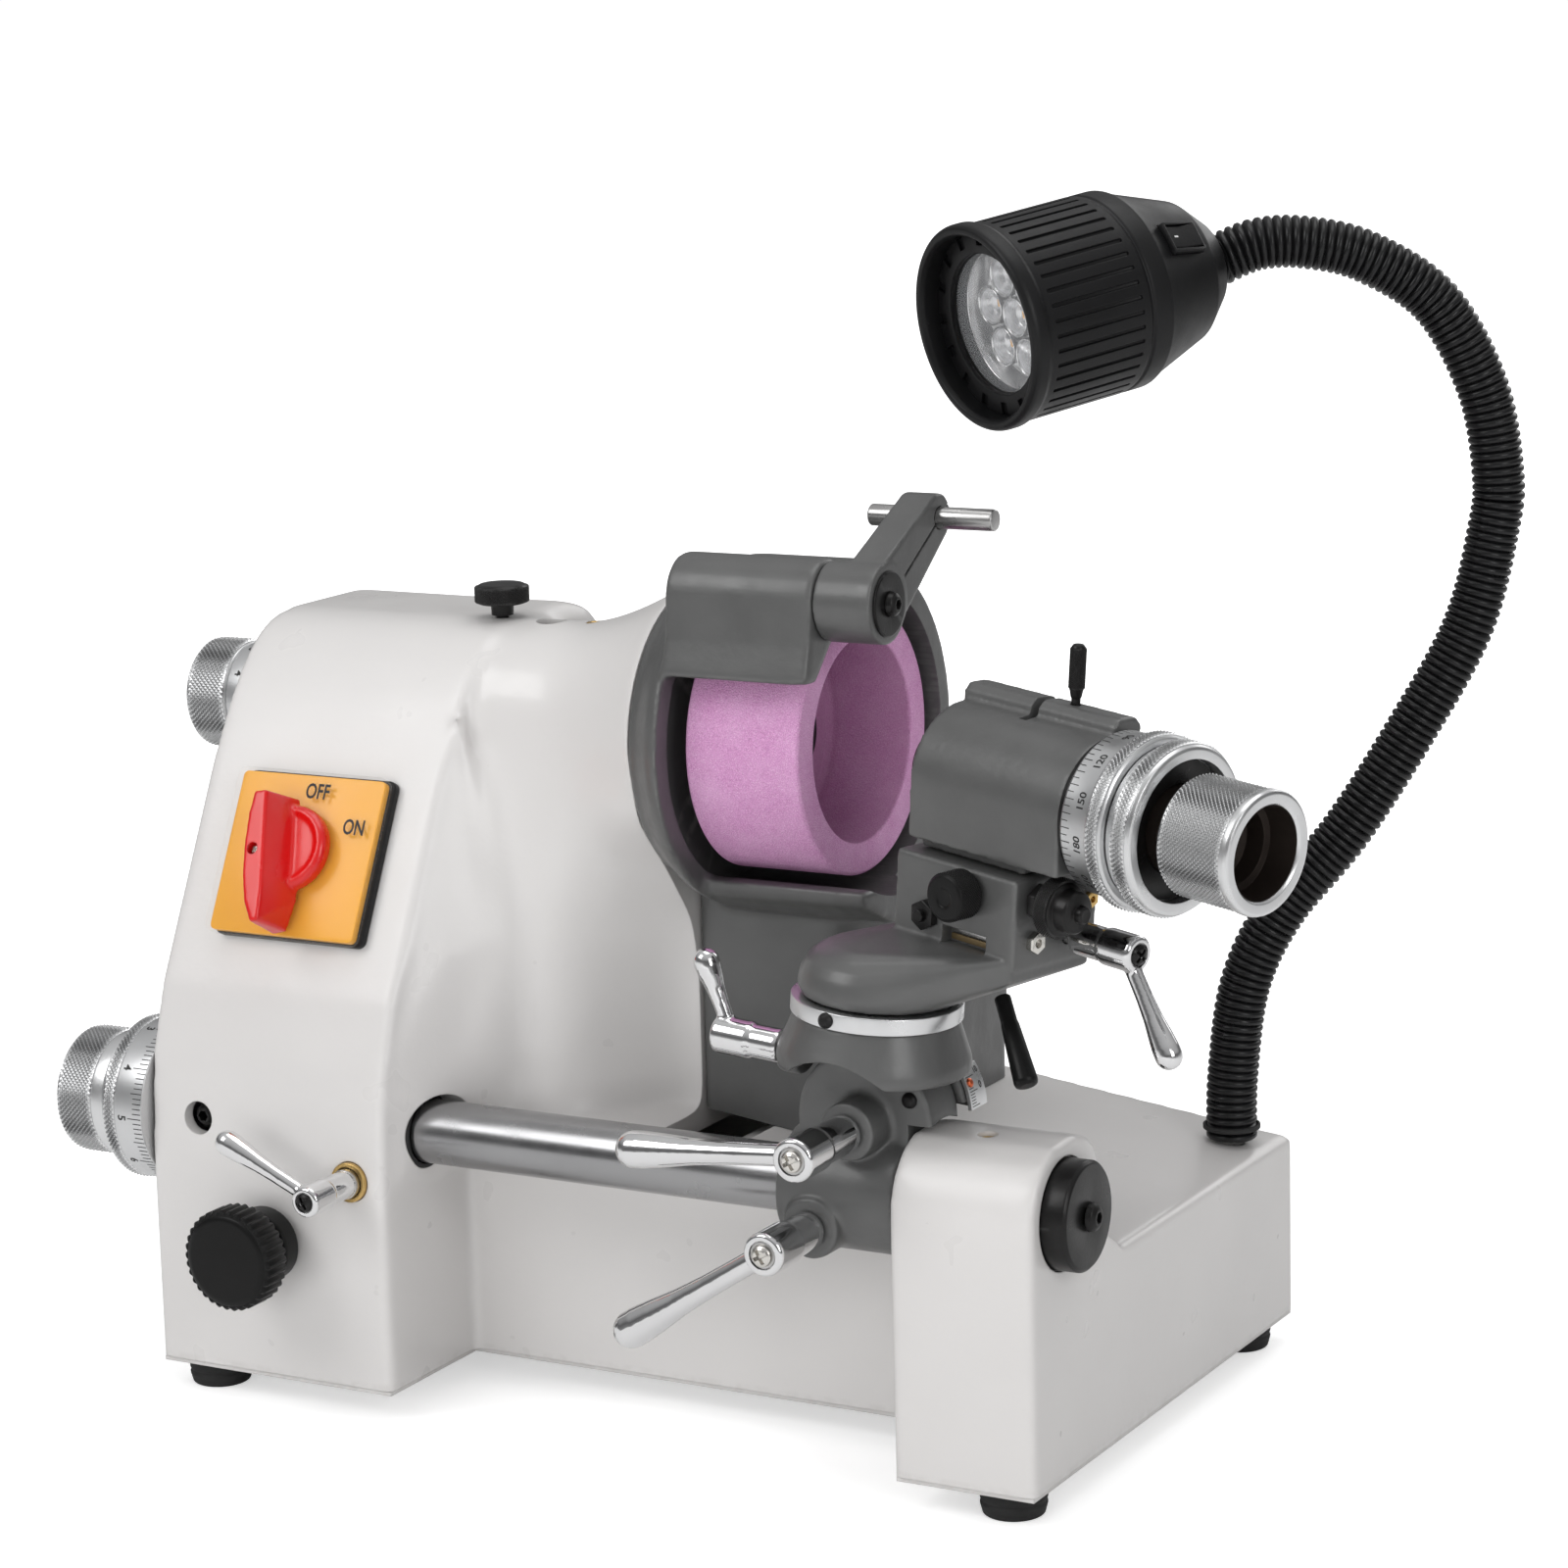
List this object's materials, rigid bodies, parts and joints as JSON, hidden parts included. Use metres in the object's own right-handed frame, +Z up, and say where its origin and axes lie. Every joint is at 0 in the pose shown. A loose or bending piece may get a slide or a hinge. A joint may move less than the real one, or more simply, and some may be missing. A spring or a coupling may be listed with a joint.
{
  "type": "universal cutter and drill bit grinder",
  "caption": "Bench grinder for drill bits and cutters: cup wheel in a guard on a cast base, collet workhead on a swivelling bracket that slides along a bar, gooseneck lamp.",
  "frame": {"origin": "on the floor under the middle of the machine's bounding box", "axes": "+X along the wheel spindle towards the wheel's open face and the work, +Y to the back, -Y is the operator's side, +Z up"},
  "size_m": [0.5034, 0.2994, 0.4458],
  "materials": {
    "white_paint": "pale grey-white paint over cast iron, fine orange peel",
    "grey_paint": "dark metallic grey paint",
    "black_metal": "blackened steel",
    "black_rubber": "black moulded rubber",
    "black_plastic": "black moulded plastic",
    "chrome": "polished chrome plate",
    "steel": "ground steel",
    "aluminium": "satin silver, knurled",
    "abrasive": "pink-violet vitrified abrasive",
    "yellow_plastic": "yellow plate under a clear cover",
    "red_plastic": "red moulded plastic",
    "clear_lens": "clear moulded lens over LEDs"
  },
  "bodies": {
    "base": {"base_casting": "white_paint", "bottom_plate": "black_metal", "foot_front_left": "black_rubber", "foot_front_right": "black_rubber", "foot_rear_left": "black_rubber", "foot_rear_right": "black_rubber", "rear_cover": "black_metal", "wheel_guard": "grey_paint", "motor_body": "black_metal", "drive_belt": "black_rubber", "bar_end_cap": "black_metal", "bar_end_screw": "black_metal", "switch_box": "black_plastic", "switch_plate": "yellow_plastic"},
    "quill": {"spindle_quill": "steel", "quill_bearing_front": "steel", "quill_bearing_rear": "steel"},
    "spindle": {"spindle_shaft": "steel", "wheel_flange": "black_metal", "grinding_wheel": "abrasive", "wheel_nut": "black_metal", "spindle_pulley": "steel"},
    "motor_rotor": {"motor_shaft": "steel", "motor_pulley": "steel"},
    "upper_dial": {"upper_feed_knob": "aluminium", "upper_feed_scale": "aluminium"},
    "lower_dial": {"lower_feed_knob": "aluminium", "lower_feed_scale": "aluminium"},
    "bar": {"slide_bar": "chrome"},
    "bar_lock": {"bar_lock_lever": "chrome"},
    "column_lock": {"column_knob": "black_plastic"},
    "quill_lock": {"quill_lock_screw": "black_metal"},
    "switch": {"switch_handle": "red_plastic"},
    "carriage": {"bar_bush": "steel"},
    "bracket": {"swing_bracket": "grey_paint"},
    "upper_clamp": {"upper_clamp_lever": "chrome"},
    "lower_clamp": {"lower_clamp_lever": "chrome"},
    "cone": {"swivel_cone": "grey_paint", "swivel_ring": "aluminium", "angle_scale": "aluminium"},
    "swivel_lock": {"swivel_lock_lever": "chrome"},
    "arm": {"swivel_arm": "grey_paint"},
    "arm_lock": {"arm_lock_lever": "black_metal"},
    "slide_lock": {"slide_lock_lever": "chrome"},
    "stop_pin_knob": {"stop_knob": "black_plastic"},
    "stop_screw": {"stop_thumbwheel": "black_metal"},
    "workhead": {"workhead_body": "grey_paint"},
    "index_plunger": {"index_pin": "black_metal"},
    "index_spindle": {"workhead_spindle": "steel", "index_ring": "aluminium", "index_lock_ring": "aluminium"},
    "draw": {"draw_sleeve": "aluminium"},
    "dresser": {"dresser_arm": "grey_paint"},
    "dresser_rod": {"dresser_pin": "steel"},
    "dresser_lock": {"dresser_screw": "black_metal"},
    "neck_low": {"gooseneck_lower": "black_plastic"},
    "neck_high": {"gooseneck_upper": "black_plastic"},
    "lamp": {"lamp_head": "black_plastic", "lamp_lens": "clear_lens"},
    "lamp_switch": {"lamp_rocker": "black_plastic"}
  },
  "joints": [
    {"name": "upper_dial_turn", "type": "hinge", "parent": "base", "child": "upper_dial", "pos_m": [-0.02014, -0.00666, 0.2495], "axis": [1, 0, 0], "range_deg": [-1080, 1080]},
    {"name": "quill_feed", "type": "slide", "parent": "base", "child": "quill", "axis": [1, 0, 0], "range_m": [-0.003, 0.003]},
    {"name": "spindle_spin", "type": "hinge", "parent": "quill", "child": "spindle", "pos_m": [-0.02014, -0.00666, 0.2495], "axis": [1, 0, 0], "continuous": true},
    {"name": "motor_spin", "type": "hinge", "parent": "base", "child": "motor_rotor", "pos_m": [-0.02014, 0.02494, 0.092], "axis": [1, 0, 0], "continuous": true},
    {"name": "lower_dial_turn", "type": "hinge", "parent": "base", "child": "lower_dial", "pos_m": [-0.02014, -0.08826, 0.1066], "axis": [1, 0, 0], "range_deg": [-6480, 0]},
    {"name": "bar_feed", "type": "slide", "parent": "base", "child": "bar", "axis": [1, 0, 0], "range_m": [-0.018, 0]},
    {"name": "bar_lock_turn", "type": "hinge", "parent": "base", "child": "bar_lock", "pos_m": [-0.11444, -0.11666, 0.0915], "axis": [0, -1, 0], "range_deg": [-60, 20]},
    {"name": "column_knob_turn", "type": "hinge", "parent": "base", "child": "column_lock", "pos_m": [-0.14964, -0.11506, 0.0653], "axis": [0, -1, 0], "range_deg": [-360, 360]},
    {"name": "quill_lock_turn", "type": "hinge", "parent": "base", "child": "quill_lock", "pos_m": [-0.10714, -0.00666, 0.29], "axis": [0, 0, 1], "range_deg": [-360, 360]},
    {"name": "switch_turn", "type": "hinge", "parent": "base", "child": "switch", "pos_m": [-0.15114, -0.07914, 0.20424], "axis": [0, -0.8956, 0.4449], "range_deg": [-90, 0]},
    {"name": "carriage_slide", "type": "slide", "parent": "bar", "child": "carriage", "axis": [1, 0, 0], "range_m": [-0.03, 0]},
    {"name": "bracket_swing", "type": "hinge", "parent": "carriage", "child": "bracket", "pos_m": [-0.02014, -0.08826, 0.1066], "axis": [-1, 0, 0], "range_deg": [-45, 10]},
    {"name": "upper_clamp_turn", "type": "hinge", "parent": "bracket", "child": "upper_clamp", "pos_m": [0.09236, -0.11166, 0.133], "axis": [0, 1, 0], "range_deg": [-20, 60]},
    {"name": "lower_clamp_turn", "type": "hinge", "parent": "bracket", "child": "lower_clamp", "pos_m": [0.07786, -0.11316, 0.097], "axis": [0, 1, 0], "range_deg": [-60, 20]},
    {"name": "cone_tilt", "type": "hinge", "parent": "bracket", "child": "cone", "pos_m": [0.09236, -0.09206, 0.133], "axis": [0, 1, 0], "range_deg": [-18, 4]},
    {"name": "swivel_lock_turn", "type": "hinge", "parent": "cone", "child": "swivel_lock", "pos_m": [0.05712, -0.09006, 0.15509], "axis": [-0.9963, 0, 0.0854], "range_deg": [-40, 40]},
    {"name": "arm_swivel", "type": "hinge", "parent": "cone", "child": "arm", "pos_m": [0.09236, -0.09206, 0.133], "axis": [0.0854, 0, 0.9963], "range_deg": [-90, 60]},
    {"name": "arm_lock_turn", "type": "hinge", "parent": "arm", "child": "arm_lock", "pos_m": [0.14165, -0.08323, 0.17338], "axis": [-0.462, 0.3983, 0.7924], "range_deg": [-60, 60]},
    {"name": "slide_lock_turn", "type": "hinge", "parent": "arm", "child": "slide_lock", "pos_m": [0.16539, -0.07628, 0.20161], "axis": [0.9553, -0.283, -0.0854], "range_deg": [-60, 60]},
    {"name": "stop_knob_turn", "type": "hinge", "parent": "arm", "child": "stop_pin_knob", "pos_m": [0.13416, -0.09676, 0.21873], "axis": [-0.284, -0.9588, 0], "range_deg": [-360, 360]},
    {"name": "stop_screw_turn", "type": "hinge", "parent": "arm", "child": "stop_screw", "pos_m": [0.15768, -0.09277, 0.21689], "axis": [0.9553, -0.283, -0.0854], "range_deg": [-1080, 2880]},
    {"name": "workhead_slide", "type": "slide", "parent": "arm", "child": "workhead", "axis": [0.9553, -0.283, -0.0854], "range_m": [-0.003, 0.008]},
    {"name": "index_pin_lift", "type": "slide", "parent": "workhead", "child": "index_plunger", "axis": [0.0819, -0.0243, 0.9963], "range_m": [0, 0.006]},
    {"name": "index_spindle_turn", "type": "hinge", "parent": "workhead", "child": "index_spindle", "pos_m": [0.24566, -0.10006, 0.2416], "axis": [0.9553, -0.283, -0.0854], "continuous": true},
    {"name": "draw_sleeve_turn", "type": "hinge", "parent": "index_spindle", "child": "draw", "pos_m": [0.24566, -0.10006, 0.2416], "axis": [0.9553, -0.283, -0.0854], "range_deg": [-1080, 1080]},
    {"name": "dresser_swing", "type": "hinge", "parent": "base", "child": "dresser", "pos_m": [-0.02014, -0.04506, 0.307], "axis": [1, 0, 0], "range_deg": [-60, 60]},
    {"name": "dresser_pin_slide", "type": "slide", "parent": "dresser", "child": "dresser_rod", "axis": [1, 0, 0], "range_m": [-0.003, 0.008]},
    {"name": "dresser_screw_turn", "type": "hinge", "parent": "dresser", "child": "dresser_lock", "pos_m": [-0.02014, -0.04506, 0.307], "axis": [1, 0, 0], "range_deg": [-360, 360]},
    {"name": "neck_base_turn", "type": "hinge", "parent": "base", "child": "neck_low", "pos_m": [0.14956, 0.09134, 0.085], "axis": [0, 0, 1], "range_deg": [-30, 30]},
    {"name": "neck_middle_twist", "type": "hinge", "parent": "neck_low", "child": "neck_high", "pos_m": [0.23699, 0.14033, 0.32681], "axis": [0.0622, 0.0348, 0.9975], "range_deg": [-35, 35]},
    {"name": "lamp_turn", "type": "hinge", "parent": "neck_high", "child": "lamp", "pos_m": [0.14402, 0.08472, 0.41653], "axis": [-0.4876, -0.8581, -0.1612], "range_deg": [-90, 90]},
    {"name": "lamp_rocker_tilt", "type": "hinge", "parent": "lamp", "child": "lamp_switch", "pos_m": [0.15226, 0.04636, 0.42918], "axis": [0.5448, -0.1547, -0.8242], "range_deg": [-5, 5]}
  ],
  "couplings": [
    {"joint": "upper_dial_turn", "follows": "quill_feed", "rad_per_m": 6283.2},
    {"joint": "lower_dial_turn", "follows": "bar_feed", "rad_per_m": 6283.2},
    {"joint": "stop_screw_turn", "follows": "workhead_slide", "rad_per_m": 6283.2},
    {"joint": "motor_spin", "follows": "spindle_spin", "ratio": 0.53846}
  ]
}
